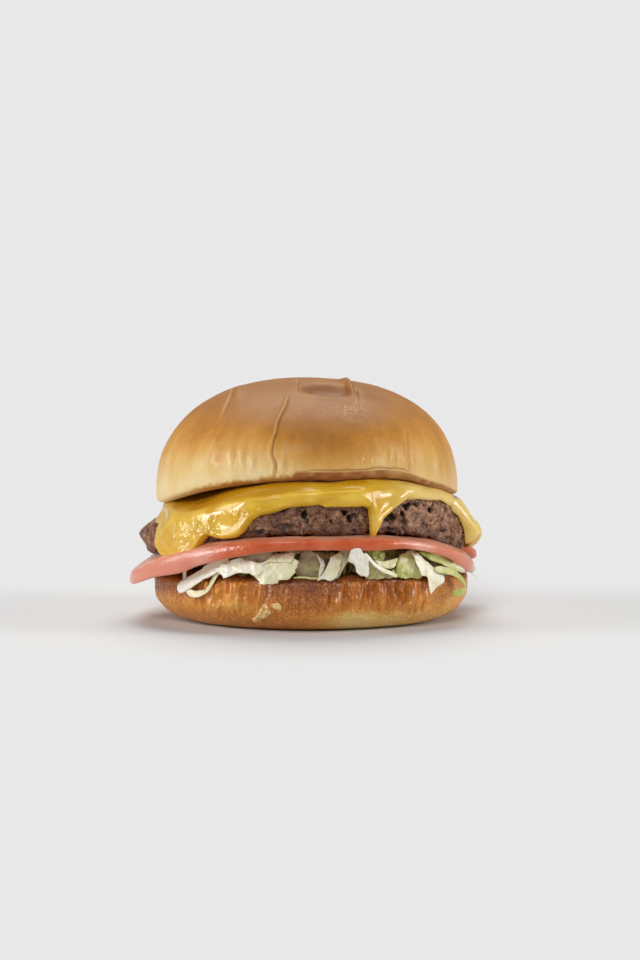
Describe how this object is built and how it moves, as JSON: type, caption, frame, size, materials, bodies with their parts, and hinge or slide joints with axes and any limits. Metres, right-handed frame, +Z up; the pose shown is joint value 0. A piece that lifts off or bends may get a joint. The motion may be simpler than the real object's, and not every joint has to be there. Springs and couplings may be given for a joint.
{
  "type": "cheeseburger",
  "caption": "Cheeseburger in a glossy round bun: melted yellow cheese over a beef patty, tomato slices and shredded lettuce that stand out at the sides.",
  "frame": {"origin": "middle of the burger seen from above, at the level of the heel's flat underside", "axes": "+Z up; -Y is the front, where the layers show best; +X is to the right of a viewer who looks at the front, and runs along the greatest width"},
  "size_m": [0.119, 0.108, 0.0816],
  "materials": {
    "heel_crust": "satin baked crust",
    "lettuce": "damp leaf",
    "tomato": "wet cut flesh and glossy skin",
    "beef": "moist seared ground meat",
    "cheese": "glossy melted",
    "crown_crust": "glazed baked crust"
  },
  "bodies": {
    "root": {"heel_bun": "heel_crust", "lettuce_heap": "lettuce", "tomato_slice_front": "tomato", "tomato_slice_rear": "tomato", "patty": "beef", "cheese_slice": "cheese", "crown_bun": "crown_crust"}
  },
  "joints": []
}
